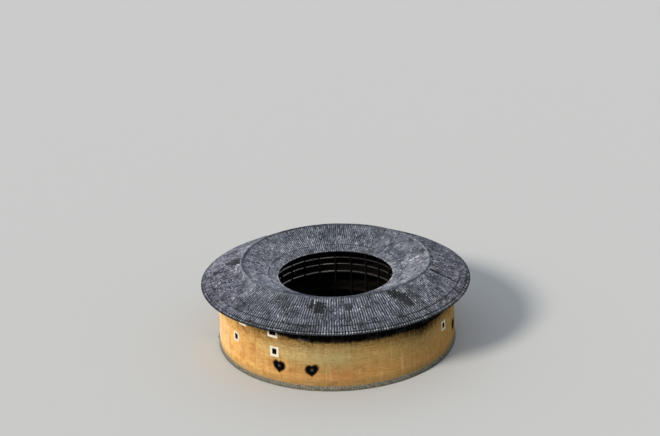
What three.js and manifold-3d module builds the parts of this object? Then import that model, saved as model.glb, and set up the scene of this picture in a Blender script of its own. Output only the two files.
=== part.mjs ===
// Tulou roundhouse: a ring of rammed earth round a timber gallery and an open courtyard.
// Millimetres, +Z up, origin on the ground at the courtyard's centre, -Y is the front of the photo.
import * as THREE from 'three';
import { mergeVertices } from 'three/addons/utils/BufferGeometryUtils.js';
import Module from 'manifold-3d';

const wasm = await Module();
wasm.setup();

// Roof, read at the tile surface.
const EAVE_R = 19100;
const EAVE_Z = 9250;
const RIDGE_R = 13300;
const RIDGE_Z = 11880;
const INNER_EAVE_R = 8140;
const INNER_EAVE_Z = 9620;
const ROOF_DEPTH = 260;
const RIDGE_HALF = 120;
const RIDGE_RISE = 140;

// Earth wall on its stone plinth.
const PLINTH_H = 700;
const PLINTH_R = 17050;
const PLINTH_TOP_R = 16990;
const WALL_BASE_R = 16950;
const WALL_TOP_R = 16650;
const WALL_INNER_R = 15650;

// Storeys.
const GROUND_FLOOR_Z = 300;
const SECOND_FLOOR_Z = 3200;
const THIRD_FLOOR_Z = 6050;
const GROUND_SLAB_R = 8900;
const GALLERY_R = 9170;
const FLOOR_DEPTH = 140;
const RIM_WIDTH = 200;
const RIM_DEPTH = 330;
const JOIST_W = 220;
const JOIST_DEPTH = 320;

// Gallery posts and rails.
const POST_W = 220;
const TIE_BEAM_Z = 8240;
const TIE_BEAM_H = 170;
const EAVE_PLATE_H = 240;
const BEAM_W = 180;
const RAIL_TOP = 1130;
const RAIL_H = 100;
const RAIL_W = 110;
const RAIL_SETBACK = 30;
const KERB_H = 120;
const UPRIGHT_W = 100;

// Gateway, its middle turned to GATE_AZ.
const GATE_AZ = 176.25;
const GATE_W = 1800;
const GATE_TOP = 2920;
const GATE_SILL = 320;
const JAMB_W = 350;
const LINTEL_H = 400;
const SURROUND_IN = 15700;
const SURROUND_OUT = 16970;
const STEP_OUT = 17260;
const LEAF_W = 880;
const LEAF_T = 70;
const LEAF_SIDE_GAP = 12;
const LEAF_FOOT_GAP = 15;

// Windows and kitchen vents, cut square to the wall.
const TOP_WINDOW_W = 1000;
const TOP_WINDOW_H = 1040;
const TOP_WINDOW_Z = 8020;
const LOW_TOP_WINDOW_Z = 7770;
const SECOND_WINDOW_W = 700;
const SECOND_WINDOW_H = 840;
const SECOND_WINDOW_Z = 4950;
const VENT_W = 420;
const VENT_H = 420;
const VENT_Z = 2980;

// Clearance left between pieces that bear on each other.
const SEAT = 0.3;
// Angle of one flat of the wall and roof, and of the coarser rings inside.
const FINE = 3.75;
const COARSE = 7.5;

// Frame lines: regular bays of 15 degrees, a wide bay at the hall and one at the gate.
const POST_AZ = [
  15, 30, 45, 60, 75, 90, 105, 120, 135, 150, 165,
  187.5, 202.5, 217.5, 232.5, 247.5, 262.5, 277.5, 292.5, 307.5, 322.5, 337.5, 352.5,
];
const TOP_WINDOW_AZ = [
  3.75, 22.5, 37.5, 52.5, 67.5, 82.5, 97.5, 112.5, 127.5, 142.5, 157.5, 176.25,
  195, 208, 220.5, 239.2, 255, 270, 286, 300, 315, 330, 345,
];
// The photo shows this one set lower than its neighbours.
const LOW_TOP_WINDOW_AZ = 239.2;
const SECOND_WINDOW_AZ = [22.5, 52.5, 82.5, 112.5, 142.5, 215.2, 240, 330];
const VENT_AZ = [37.5, 127.5, 242.2, 258, 345];

const rad = THREE.MathUtils.degToRad;
const EARTH = { color: 0xc9954f, roughness: 0.95, metalness: 0 };
const STONE = { color: 0x8b877f, roughness: 0.9, metalness: 0 };
const TIMBER = { color: 0x6f5a45, roughness: 0.85, metalness: 0 };
const OLD_TIMBER = { color: 0x8d8371, roughness: 0.85, metalness: 0 };
const TILE = { color: 0x5b5d63, roughness: 0.8, metalness: 0 };
const LIME = { color: 0xb9b7b1, roughness: 0.9, metalness: 0 };

function roofTop(r) {
  if (r > RIDGE_R) {
    return EAVE_Z + (EAVE_R - r) * (RIDGE_Z - EAVE_Z) / (EAVE_R - RIDGE_R);
  }
  return INNER_EAVE_Z + (r - INNER_EAVE_R) * (RIDGE_Z - INNER_EAVE_Z) / (RIDGE_R - INNER_EAVE_R);
}

function roofUnderside(r) {
  return roofTop(r) - ROOF_DEPTH;
}

function wallFace(z) {
  const topZ = roofUnderside(WALL_TOP_R);
  return WALL_BASE_R + (WALL_TOP_R - WALL_BASE_R) * (z - PLINTH_H) / (topZ - PLINTH_H);
}

// A closed solid swept round Z from one azimuth to another.
// The profile is a list of [radius, z], anticlockwise with radius to the right.
function arcGeometry(profile, fromAz, toAz, step) {
  const closed = toAz - fromAz === 360;
  const angles = [];
  for (let az = fromAz; az < toAz; az = (Math.floor(az / step + 1e-6) + 1) * step) {
    angles.push(az);
  }
  if (!closed) {
    angles.push(toAz);
  }
  const count = profile.length;
  const position = [];
  for (const az of angles) {
    for (const [r, z] of profile) {
      position.push(r * Math.cos(rad(az)), r * Math.sin(rad(az)), z);
    }
  }
  const index = [];
  const spans = closed ? angles.length : angles.length - 1;
  for (let i = 0; i < spans; i += 1) {
    const here = i * count;
    const next = ((i + 1) % angles.length) * count;
    for (let j = 0; j < count; j += 1) {
      const k = (j + 1) % count;
      index.push(here + j, next + j, here + k);
      index.push(here + k, next + j, next + k);
    }
  }
  if (!closed) {
    const last = (angles.length - 1) * count;
    const outline = profile.map(([r, z]) => new THREE.Vector2(r, z));
    for (const [a, b, c] of THREE.ShapeUtils.triangulateShape(outline, [])) {
      index.push(a, b, c);
      index.push(last + a, last + c, last + b);
    }
  }
  const geometry = new THREE.BufferGeometry();
  geometry.setAttribute('position', new THREE.Float32BufferAttribute(position, 3));
  geometry.setIndex(index);
  return geometry;
}

// A box set on a radius: r0..r1 outward, side0..side1 across it, z0..z1 up.
function radialBox(az, r0, r1, side0, side1, z0, z1) {
  const geometry = new THREE.BoxGeometry(r1 - r0, side1 - side0, z1 - z0);
  geometry.translate((r0 + r1) / 2, (side0 + side1) / 2, (z0 + z1) / 2);
  geometry.rotateZ(rad(az));
  return geometry;
}

function toSolid(geometry) {
  const plain = geometry.clone();
  plain.deleteAttribute('normal');
  plain.deleteAttribute('uv');
  const merged = mergeVertices(plain, 1e-3);
  return new wasm.Manifold(new wasm.Mesh({
    numProp: 3,
    vertProperties: new Float32Array(merged.attributes.position.array),
    triVerts: new Uint32Array(merged.index.array),
  }));
}

function toGeometry(solid) {
  const mesh = solid.getMesh();
  const geometry = new THREE.BufferGeometry();
  geometry.setAttribute('position', new THREE.BufferAttribute(mesh.vertProperties, 3));
  geometry.setIndex(new THREE.BufferAttribute(mesh.triVerts, 1));
  return geometry;
}

function joined(geometries) {
  let solid = toSolid(geometries[0]);
  for (const geometry of geometries.slice(1)) {
    solid = solid.add(toSolid(geometry));
  }
  return solid;
}

function within(az, fromAz, toAz) {
  const turned = ((az - fromAz) % 360 + 360) % 360;
  return turned < toAz - fromAz;
}

const object = new THREE.Group();

function addPiece(name, geometry, look) {
  const mesh = new THREE.Mesh(geometry, new THREE.MeshStandardMaterial(look));
  mesh.name = name;
  object.add(mesh);
}

// Cobble plinth, one run between two azimuths or up to the gate's step.
function plinthProfile() {
  return [
    [WALL_INNER_R + SEAT, 0],
    [PLINTH_R, 0],
    [PLINTH_TOP_R, PLINTH_H],
    [WALL_INNER_R + SEAT, PLINTH_H],
  ];
}

function addPlinth(name, fromAz, toAz) {
  const arc = toSolid(arcGeometry(plinthProfile(), fromAz, toAz, COARSE));
  const half = GATE_W / 2 + JAMB_W + SEAT;
  const gap = toSolid(radialBox(GATE_AZ, WALL_INNER_R - 500, PLINTH_R + 500, -half, half, -10, PLINTH_H + 10));
  addPiece(name, toGeometry(arc.subtract(gap)), STONE);
}

// Battered earth wall between two azimuths, standing on the plinth and up against the roof.
function wallSolid(fromAz, toAz) {
  const foot = PLINTH_H + SEAT;
  const profile = [
    [WALL_INNER_R, foot],
    [wallFace(foot), foot],
    [WALL_TOP_R, roofUnderside(WALL_TOP_R) - SEAT],
    [WALL_INNER_R, roofUnderside(WALL_INNER_R) - SEAT],
  ];
  let solid = toSolid(arcGeometry(profile, fromAz, toAz, FINE));
  const cut = (az, w, h, z) => {
    const box = radialBox(az, WALL_INNER_R - 400, WALL_BASE_R + 400, -w / 2, w / 2, z - h / 2, z + h / 2);
    solid = solid.subtract(toSolid(box));
  };
  TOP_WINDOW_AZ.filter((az) => within(az, fromAz, toAz)).forEach((az) => {
    cut(az, TOP_WINDOW_W, TOP_WINDOW_H, az === LOW_TOP_WINDOW_AZ ? LOW_TOP_WINDOW_Z : TOP_WINDOW_Z);
  });
  SECOND_WINDOW_AZ.filter((az) => within(az, fromAz, toAz)).forEach((az) => {
    cut(az, SECOND_WINDOW_W, SECOND_WINDOW_H, SECOND_WINDOW_Z);
  });
  VENT_AZ.filter((az) => within(az, fromAz, toAz)).forEach((az) => {
    cut(az, VENT_W, VENT_H, VENT_Z);
  });
  return solid;
}

function addWall(name, fromAz, toAz) {
  addPiece(name, toGeometry(wallSolid(fromAz, toAz)), EARTH);
}

// The gate's bay is three pieces: a flank on either hand and the earth over the lintel.
function addGateWalls(fromAz, toAz) {
  const bay = wallSolid(fromAz, toAz);
  const half = GATE_W / 2 + JAMB_W;
  const top = GATE_TOP + LINTEL_H;
  const near = WALL_INNER_R - 1000;
  const far = WALL_BASE_R + 1000;
  const high = RIDGE_Z;
  const side = 5000;
  const backFlank = toSolid(radialBox(GATE_AZ, near, far, -side, -half - SEAT, 0, high));
  const frontFlank = toSolid(radialBox(GATE_AZ, near, far, half + SEAT, side, 0, high));
  const over = toSolid(radialBox(GATE_AZ, near, far, -half, half, top + SEAT, high));
  addPiece('gate_wall_back', toGeometry(bay.intersect(backFlank)), EARTH);
  addPiece('gate_wall_front', toGeometry(bay.intersect(frontFlank)), EARTH);
  addPiece('gate_wall_over', toGeometry(bay.intersect(over)), EARTH);
}

// Stone jambs and lintel in one, the whole depth of the wall.
function addGateSurround() {
  const half = GATE_W / 2;
  const block = toSolid(radialBox(
    GATE_AZ, SURROUND_IN, SURROUND_OUT, -half - JAMB_W, half + JAMB_W, GATE_SILL + SEAT, GATE_TOP + LINTEL_H,
  ));
  const passage = toSolid(radialBox(
    GATE_AZ, SURROUND_IN - 100, SURROUND_OUT + 100, -half, half, 0, GATE_TOP,
  ));
  addPiece('gate_surround', toGeometry(block.subtract(passage)), STONE);
}

function addGateThreshold() {
  const half = GATE_W / 2 + JAMB_W;
  const inner = WALL_INNER_R * Math.cos(rad(COARSE / 2)) + SEAT;
  const block = toSolid(radialBox(GATE_AZ, inner, SURROUND_OUT, -half, half, 0, GATE_SILL));
  const step = toSolid(radialBox(GATE_AZ, SURROUND_OUT - 10, STEP_OUT, -half, half, 0, GATE_SILL / 2));
  addPiece('gate_threshold', toGeometry(block.add(step)), STONE);
}

// Plank leaves folded back into the entrance, hung on the inner face of the stone.
function addGateLeaf(name, hand) {
  const near = GATE_W / 2 + LEAF_SIDE_GAP;
  const side0 = hand > 0 ? near : -near - LEAF_T;
  const foot = GATE_SILL + LEAF_FOOT_GAP;
  const leaf = radialBox(
    GATE_AZ, SURROUND_IN - SEAT - LEAF_W, SURROUND_IN - SEAT, side0, side0 + LEAF_T, foot, GATE_TOP - LEAF_FOOT_GAP,
  );
  addPiece(name, toGeometry(toSolid(leaf)), TIMBER);
}

function addGroundFloor() {
  const profile = [
    [GROUND_SLAB_R, 0],
    [WALL_INNER_R - SEAT, 0],
    [WALL_INNER_R - SEAT, GROUND_FLOOR_Z],
    [GROUND_SLAB_R, GROUND_FLOOR_Z],
  ];
  addPiece('ground_floor', arcGeometry(profile, 0, 360, COARSE), STONE);
}

// Boarded floor with its rim beam, and a joist from every post back to the earth wall.
function addUpperFloor(name, topZ) {
  const profile = [
    [GALLERY_R, topZ - RIM_DEPTH],
    [GALLERY_R + RIM_WIDTH, topZ - RIM_DEPTH],
    [GALLERY_R + RIM_WIDTH, topZ - FLOOR_DEPTH],
    [WALL_INNER_R - SEAT, topZ - FLOOR_DEPTH],
    [WALL_INNER_R - SEAT, topZ],
    [GALLERY_R, topZ],
  ];
  const pieces = [arcGeometry(profile, 0, 360, COARSE)];
  for (const az of POST_AZ) {
    pieces.push(radialBox(
      az, GALLERY_R + RIM_WIDTH / 2, WALL_INNER_R - 10, -JOIST_W / 2, JOIST_W / 2,
      topZ - JOIST_DEPTH, topZ - FLOOR_DEPTH / 2,
    ));
  }
  addPiece(name, toGeometry(joined(pieces)), TIMBER);
}

// Gallery posts of one quarter, full height, carried together by the tie beam and the eave plate.
function addGalleryPosts(name, fromAz, toAz) {
  const outer = GALLERY_R - POST_W / 2 * Math.tan(rad(COARSE / 2)) - SEAT;
  const centre = outer - POST_W / 2;
  const lowest = (centre - BEAM_W / 2) * Math.cos(rad(COARSE / 2));
  const plateTop = roofUnderside(lowest) - SEAT;
  const pieces = [];
  for (const [low, high] of [
    [TIE_BEAM_Z - TIE_BEAM_H / 2, TIE_BEAM_Z + TIE_BEAM_H / 2],
    [plateTop - EAVE_PLATE_H, plateTop],
  ]) {
    const profile = [
      [centre - BEAM_W / 2, low],
      [centre + BEAM_W / 2, low],
      [centre + BEAM_W / 2, high],
      [centre - BEAM_W / 2, high],
    ];
    pieces.push(arcGeometry(profile, fromAz + SEAT / 1000, toAz - SEAT / 1000, COARSE));
  }
  for (const az of POST_AZ.filter((a) => within(a, fromAz, toAz))) {
    pieces.push(radialBox(
      az, outer - POST_W, outer, -POST_W / 2, POST_W / 2, GROUND_FLOOR_Z + SEAT, plateTop - EAVE_PLATE_H / 2,
    ));
  }
  addPiece(name, toGeometry(joined(pieces)), TIMBER);
}

// Handrail and kerb behind the posts, tied by an upright at every frame line.
function addGalleryRail(name, floorZ) {
  const inner = GALLERY_R + RAIL_SETBACK;
  const band = (low, high) => [
    [inner, low],
    [inner + RAIL_W, low],
    [inner + RAIL_W, high],
    [inner, high],
  ];
  const pieces = [
    arcGeometry(band(floorZ + SEAT, floorZ + KERB_H), 0, 360, COARSE),
    arcGeometry(band(floorZ + RAIL_TOP - RAIL_H, floorZ + RAIL_TOP), 0, 360, COARSE),
  ];
  for (const az of POST_AZ) {
    pieces.push(radialBox(
      az, inner + 5, inner + RAIL_W - 5, -UPRIGHT_W / 2, UPRIGHT_W / 2,
      floorZ + KERB_H / 2, floorZ + RAIL_TOP - RAIL_H / 2,
    ));
  }
  addPiece(name, toGeometry(joined(pieces)), OLD_TIMBER);
}

// One eighth of the outer slope: tiles, boards and rafters as one slab.
function addOuterRoof(name, fromAz, toAz) {
  const head = RIDGE_R + SEAT;
  const profile = [
    [head, roofUnderside(head)],
    [EAVE_R, roofUnderside(EAVE_R)],
    [EAVE_R, EAVE_Z],
    [head, roofTop(head)],
  ];
  addPiece(name, arcGeometry(profile, fromAz, toAz, FINE), TILE);
}

function addInnerRoof(name, fromAz, toAz) {
  const head = RIDGE_R - SEAT;
  const profile = [
    [INNER_EAVE_R, roofUnderside(INNER_EAVE_R)],
    [head, roofUnderside(head)],
    [head, roofTop(head)],
    [INNER_EAVE_R, INNER_EAVE_Z],
  ];
  addPiece(name, arcGeometry(profile, fromAz, toAz, FINE), TILE);
}

// Lime-bedded ridge, saddled over both slopes.
function addRidge() {
  const inner = RIDGE_R - RIDGE_HALF;
  const outer = RIDGE_R + RIDGE_HALF;
  const shoulder = RIDGE_HALF * 0.6;
  const profile = [
    [inner, roofTop(inner) + SEAT],
    [RIDGE_R, RIDGE_Z + SEAT],
    [outer, roofTop(outer) + SEAT],
    [RIDGE_R + shoulder, RIDGE_Z + RIDGE_RISE],
    [RIDGE_R - shoulder, RIDGE_Z + RIDGE_RISE],
  ];
  addPiece('roof_ridge', arcGeometry(profile, 0, 360, FINE), LIME);
}

addPlinth('plinth_back_right', 0, 90);
addPlinth('plinth_back_left', 90, GATE_AZ);
addPlinth('plinth_front_left', GATE_AZ, 270);
addPlinth('plinth_front_right', 270, 360);

addWall('wall_back_right', 15, 60);
addWall('wall_rear_right', 60, 90);
addWall('wall_rear_middle', 90, 105);
addWall('wall_rear_left', 105, 120);
addWall('wall_back_left', 120, 165);
addGateWalls(165, 187.5);
addWall('wall_front_left', 187.5, 232.5);
addWall('wall_front', 232.5, 292.5);
addWall('wall_front_right', 292.5, 352.5);
addWall('wall_hall', 352.5, 375);

addGateSurround();
addGateThreshold();
addGateLeaf('gate_leaf_back', -1);
addGateLeaf('gate_leaf_front', 1);

addGroundFloor();
addUpperFloor('second_floor', SECOND_FLOOR_Z);
addUpperFloor('third_floor', THIRD_FLOOR_Z);
addGalleryPosts('gallery_posts_back_right', 0, 97.5);
addGalleryPosts('gallery_posts_back_left', 97.5, 180);
addGalleryPosts('gallery_posts_front_left', 180, 270);
addGalleryPosts('gallery_posts_front_right', 270, 360);
addGalleryRail('second_floor_rail', SECOND_FLOOR_Z);
addGalleryRail('third_floor_rail', THIRD_FLOOR_Z);

for (let i = 0; i < 8; i += 1) {
  addOuterRoof(`roof_outer_${i + 1}`, i * 45, i * 45 + 45);
  addInnerRoof(`roof_inner_${i + 1}`, i * 45, i * 45 + 45);
}
addRidge();

export default object;
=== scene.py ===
import math

import bpy
import numpy as np
from mathutils import Matrix, Vector, noise


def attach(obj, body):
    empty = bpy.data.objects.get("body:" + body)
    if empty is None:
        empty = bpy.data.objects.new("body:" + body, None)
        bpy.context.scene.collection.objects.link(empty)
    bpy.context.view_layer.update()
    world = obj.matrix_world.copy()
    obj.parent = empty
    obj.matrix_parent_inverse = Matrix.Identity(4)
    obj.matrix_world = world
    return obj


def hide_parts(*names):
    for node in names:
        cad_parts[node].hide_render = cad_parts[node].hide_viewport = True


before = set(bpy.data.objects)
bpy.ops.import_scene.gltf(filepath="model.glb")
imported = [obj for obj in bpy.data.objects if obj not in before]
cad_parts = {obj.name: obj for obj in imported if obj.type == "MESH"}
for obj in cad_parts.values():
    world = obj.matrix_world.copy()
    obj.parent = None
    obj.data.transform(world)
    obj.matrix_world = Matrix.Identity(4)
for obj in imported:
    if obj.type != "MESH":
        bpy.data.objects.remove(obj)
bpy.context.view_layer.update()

# Stone plinth
# River cobbles laid in earth mortar under the whole wall. They keep rain off the earth, bulge a few
# centimetres past the mortar, and are darker and greener where the wet ground meets them.
# Sizes are in metres. A place on the ring is in degrees anticlockwise from +X, so 270 is the front.
PLINTH_TOP = 0.70
PLINTH_FACE = 17.02
PLINTH_LEAN = 0.06
COBBLE_MIDDLE = 16.97
COBBLE_WIDE = (0.24, 0.5)
COBBLE_TALL = (0.15, 0.22)
COBBLE_HALF_DEEP = 0.12
GATE_AZ = 176.25
GATE_HALF = 0.90
JAMB = 0.35


def rgb(code):
    """An sRGB hex value as linear red, green, blue and alpha."""
    parts = [int(code[i:i + 2], 16) / 255 for i in (1, 3, 5)]
    return tuple(c / 12.92 if c <= 0.04045 else ((c + 0.055) / 1.055) ** 2.4 for c in parts) + (1.0,)


def put(tree, kind, *given, out=0, stops=(), sockets=None, **settings):
    """Adds a shader node with its settings, fills its open sockets in order, and returns an output.

    A socket takes another node's output, a number, a triple or a hex colour, and None leaves it alone.
    Stops are the places and colours of a ramp, and sockets are filled by name.
    """
    made = tree.nodes.new("ShaderNode" + kind)
    for key, value in settings.items():
        setattr(made, key, value)
    if stops:
        marks = made.color_ramp.elements
        while len(marks) < len(stops):
            marks.new(0.5)
        for mark, (place, code) in zip(marks, stops):
            mark.position = place
            mark.color = rgb(code)
    fills = list(zip([socket for socket in made.inputs if socket.enabled], given))
    fills += [(made.inputs[name], value) for name, value in (sockets or {}).items()]
    for socket, value in fills:
        if isinstance(value, bpy.types.NodeSocket):
            tree.links.new(value, socket)
        elif value is not None:
            socket.default_value = rgb(value) if isinstance(value, str) else value
    if isinstance(out, str):
        return made.outputs[out]
    return ([socket for socket in made.outputs if socket.enabled] + [None])[out]


def blank(name):
    """A new material, its node tree, and a node output that gives places in metres."""
    material = bpy.data.materials.new(name)
    material.use_nodes = True
    material.node_tree.nodes.clear()
    return material, material.node_tree, put(material.node_tree, "TexCoord", out="Object")


def grain(place, size_mm, stretch=(1, 1, 1), detail=4, rough=0.55):
    """Noise whose blotches are about size_mm across, longer along an axis with stretch above one."""
    tree = place.id_data
    moved = put(tree, "Mapping", place, None, None, tuple(1 / s for s in stretch))
    return put(tree, "TexNoise", moved, 1000 / size_mm, detail, rough)


def stain(body, *coats):
    """Lays coats of colour over a surface in turn, and returns the colour that they give.

    A coat is a pattern, two values of it, how thick the coat lies at the first and at the second, its
    colour, and the way it mixes where it isn't simply laid on.
    """
    tree = body.id_data
    for pattern, low, high, thick_low, thick_high, tint, *how in coats:
        cover = put(tree, "MapRange", pattern, low, high, thick_low, thick_high)
        body = put(tree, "Mix", cover, body, tint, data_type="RGBA", blend_type=how[0] if how else "MIX")
    return body


def close(body, wear, smooth, rough, height, depth, specular=0.3, between=(0.3, 0.7)):
    """Ends a dull surface: its colour, a roughness that follows the wear, and relief depth metres deep."""
    tree = body.id_data
    shader = put(tree, "BsdfPrincipled", sockets={
        "Base Color": body, "Roughness": put(tree, "MapRange", wear, *between, smooth, rough), "IOR": 1.5,
        "Specular IOR Level": specular, "Normal": put(tree, "Bump", 1, depth, None, height)})
    put(tree, "OutputMaterial", shader)


def dress(names, material):
    """Gives solids that stay in view their finish."""
    for name in names:
        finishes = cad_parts[name].data.materials
        finishes.clear()
        finishes.append(material)


def show(name, data):
    """A new object in the scene, made of a mesh, a lamp or a camera."""
    made = bpy.data.objects.new(name, data)
    bpy.context.scene.collection.objects.link(made)
    return made


def piece(name, verts, faces, material, slot, replaces=(), round_to=0, **facts):
    """Makes a mesh of quads with its finish and rides it on the frame.

    Edges that turn by less than round_to degrees look round. Facts are numbers for the material, one
    for each point or each face.
    """
    mesh = bpy.data.meshes.new(name)
    verts = np.asarray(verts, np.float32).reshape(-1, 3)
    faces = np.asarray(faces, np.int32)
    mesh.vertices.add(len(verts))
    mesh.vertices.foreach_set("co", verts.ravel())
    mesh.loops.add(faces.size)
    mesh.loops.foreach_set("vertex_index", faces.ravel())
    mesh.polygons.add(len(faces))
    mesh.polygons.foreach_set("loop_start", np.arange(0, faces.size, 4, dtype=np.int32))
    mesh.polygons.foreach_set("use_smooth", np.full(len(faces), round_to > 0))
    mesh.update(calc_edges=True)
    for fact, values in facts.items():
        kind, key = ("FLOAT_VECTOR", "vector") if values.ndim == 2 else ("FLOAT", "value")
        layer = mesh.attributes.new(fact, kind, "POINT" if len(values) == len(verts) else "FACE")
        layer.data.foreach_set(key, values.astype(np.float32).ravel())
    if 0 < round_to < 180:
        mesh.set_sharp_from_angle(angle=math.radians(round_to))
    mesh.materials.append(material)
    made = show(name, mesh)
    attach(made, "root")
    if replaces:
        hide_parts(*replaces)


def around(az, r, z):
    """Points from azimuth in degrees, radius and height."""
    az, r, z = np.broadcast_arrays(np.radians(az), r, z)
    return np.stack([r * np.cos(az), r * np.sin(az), z], -1)


def turned_from(place, az):
    """Degrees from a place on the ring to an azimuth, from -180 to 180."""
    return (np.asarray(az, float) - place + 180) % 360 - 180


def copies(quads, count, points):
    """The same quads for each of count like shapes, which have so many points each."""
    return (np.array(quads)[None] + (np.arange(count) * points)[:, None, None]).reshape(-1, 4)


def ball(rings, sides):
    """A unit ball of quads, closed with narrow quads at its poles."""
    tilt = np.linspace(0, math.pi, rings + 1)[:, None]
    turn = np.arange(sides) * 2 * math.pi / sides
    verts = np.stack([np.sin(tilt) * np.cos(turn), np.sin(tilt) * np.sin(turn), np.cos(tilt) + 0 * turn], -1)
    faces = [(near + j, near + sides + j, near + sides + (j + 1) % sides, near + (j + 1) % sides)
             for near in range(0, rings * sides, sides) for j in range(sides)]
    return verts.reshape(-1, 3), faces


cobble, tree, spot = blank("river_cobble_in_earth_mortar")
# Water-worn granite and slate cobbles: each stone has its own grey or brown, a fine pitted skin,
# and green-black damp low down.
own = put(tree, "NewGeometry", out="Random Per Island")
body = put(tree, "ValToRGB", own, stops=[
    (0, "#5d5a4d"), (0.35, "#77746a"), (0.6, "#8b8778"), (0.85, "#6c675c"), (1, "#918468")])
fleck = grain(spot, 24)
body = stain(body, (fleck, 0.45, 0.7, 0, 0.5, "#3f3d36"),
             (put(tree, "SeparateXYZ", spot, out=2), 0, 0.45, 0.75, 0, "#3c4030"))
close(body, fleck, 0.75, 0.95, fleck, 0.004)

rng = np.random.default_rng(11)
unit, quads = ball(5, 8)
cobbles = []
course_z = 0.0
while course_z < PLINTH_TOP - 0.05:
    tall = min(rng.uniform(*COBBLE_TALL), PLINTH_TOP - course_z)
    middle_z = course_z + tall / 2
    az = rng.uniform(0, 1)
    while az < 360:
        wide = rng.uniform(*COBBLE_WIDE)
        step = math.degrees(wide / PLINTH_FACE)
        from_gate = math.radians(abs(turned_from(GATE_AZ, az + step / 2))) * PLINTH_FACE
        if from_gate > GATE_HALF + JAMB + wide / 2:
            shape = unit * (1 + rng.uniform(-0.09, 0.09, unit.shape))
            # Squared a little, so that neighbours fill the course as laid stones do.
            shape = np.sign(shape) * np.abs(shape) ** 0.8
            s = shape[:, 0] * wide * 0.53
            r = COBBLE_MIDDLE - PLINTH_LEAN * middle_z / PLINTH_TOP + shape[:, 1] * COBBLE_HALF_DEEP
            z = np.clip(middle_z + shape[:, 2] * tall * 0.55, 0.0, PLINTH_TOP - 0.002)
            cobbles.append(around(az + step / 2 + np.degrees(s / PLINTH_FACE), r, z))
        az += step
    course_z += tall
faces = copies(quads, len(cobbles), len(unit))
piece("plinth_cobbles", np.concatenate(cobbles), faces, cobble, "cobble_stone", round_to=180)

mortar, tree, spot = blank("earth_mortar_behind_cobbles")
# Mud and lime rammed between the stones: dull, gritty and dark in the joints.
grit = grain(spot, 40)
body = put(tree, "ValToRGB", grit, stops=[(0.3, "#4a4438"), (0.7, "#7a6f5b")])
close(body, grit, 0.9, 1, grit, 0.01, between=(0, 1))
dress(["plinth_back_right", "plinth_back_left", "plinth_front_left", "plinth_front_right"], mortar)

# Rammed earth wall
# Clayey subsoil rammed in board forms, a metre thick and battered, in lifts of about 0.4 m that
# leave level lines. Weather has washed it in streaks, and kitchens have smoked it round the vents.
FRONT = 270
WALL_IN = 15.65
WALL_FOOT_R = 16.95
WALL_HEAD_R = 16.65
WALL_BATTER = (WALL_FOOT_R - WALL_HEAD_R) / 9.39
# Places round the wall are turned into metres along it at this radius.
WALL_ROUND = 17
LIFT = 0.42
COURT_R, COURT_Z = 8.14, 9.62
RIDGE_R, RIDGE_Z = 13.30, 11.88
EAVE_R, EAVE_Z = 19.10, 9.25
ROOF_DEPTH = 0.26
SEAT = 0.0003
GATE_HEAD = 2.92
LINTEL = 0.40
TOP_ROW_Z, SECOND_ROW_Z, VENT_Z = 8.02, 4.95, 2.98
LOWER_ONE, LOWER_ONE_Z = 239.2, 7.77
# Half the width and half the height of a smoke stain, and how far apart the form's pins were.
STAIN_WIDE, STAIN_TALL = 0.95, 0.80
PIN_SPACING = 2 / 3
# Each hole is an azimuth, the height of its middle, its width and its height. One top window is lower.
TOP_ROW = [3.75, 22.5, 37.5, 52.5, 67.5, 82.5, 97.5, 112.5, 127.5, 142.5, 157.5, GATE_AZ,
           195, 208, 220.5, LOWER_ONE, 255, 270, 286, 300, 315, 330, 345]
SECOND_ROW = [22.5, 52.5, 82.5, 112.5, 142.5, 215.2, 240, 330]
VENTS = [37.5, 127.5, 242.2, 258, 345]
WINDOWS = ([(az, LOWER_ONE_Z if az == LOWER_ONE else TOP_ROW_Z, 1.0, 1.04) for az in TOP_ROW]
           + [(az, SECOND_ROW_Z, 0.70, 0.84) for az in SECOND_ROW])
HOLES = WINDOWS + [(az, VENT_Z, 0.42, 0.42) for az in VENTS]
# Each stain is its vent's azimuth, how far its foot hangs, its lean, and how nearly it is one round smudge.
STAINS = [(37.5, -0.10, 0.2, 0.34), (127.5, -0.16, 0.1, 0.30), (242.2, 0.24, 0.09, 0.0),
          (258, 0.24, -0.2, 0.0), (345, -0.06, 0.12, 0.26)]


def roof_top(r):
    """Height of the tiled surface at a radius."""
    return np.interp(r, [COURT_R, RIDGE_R, EAVE_R], [COURT_Z, RIDGE_Z, EAVE_Z])


def wall_face(z):
    """Radius of the battered outer face."""
    return WALL_FOOT_R - WALL_BATTER * (np.asarray(z, float) - PLINTH_TOP)


def fade_in(value, low, high):
    """0 up to low, 1 from high on, and straight between."""
    return np.clip((value - low) / (high - low), 0, 1)


def patch(value, middle, width):
    """1 in the middle, fading out over the width on either hand."""
    return np.exp(-((value - middle) / width) ** 2)


def swell(az, z, size, seed):
    """Smooth random rise and fall round the ring, from -1 to 1."""
    az, z = np.broadcast_arrays(np.asarray(az, float), np.asarray(z, float))
    points = around(az, WALL_ROUND, z) / size
    flat = [noise.noise(Vector((x, y, up + seed))) for x, y, up in points.reshape(-1, 3)]
    return np.array(flat).reshape(az.shape)


def eave_shade(az, z):
    """How thick the painted eave shade lies, with the dust and smoke under the eave: deep at the front, thin
    where the sun reaches.
    """
    turned = turned_from(FRONT, az)
    foot = 7.85 - 1.1 * fade_in(turned, -40, -12) + 0.9 * fade_in(turned, 56, 82)
    return fade_in(z, foot, foot + 1.05)


earth, tree, spot = blank("rammed_earth_ochre_weathered")
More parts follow.
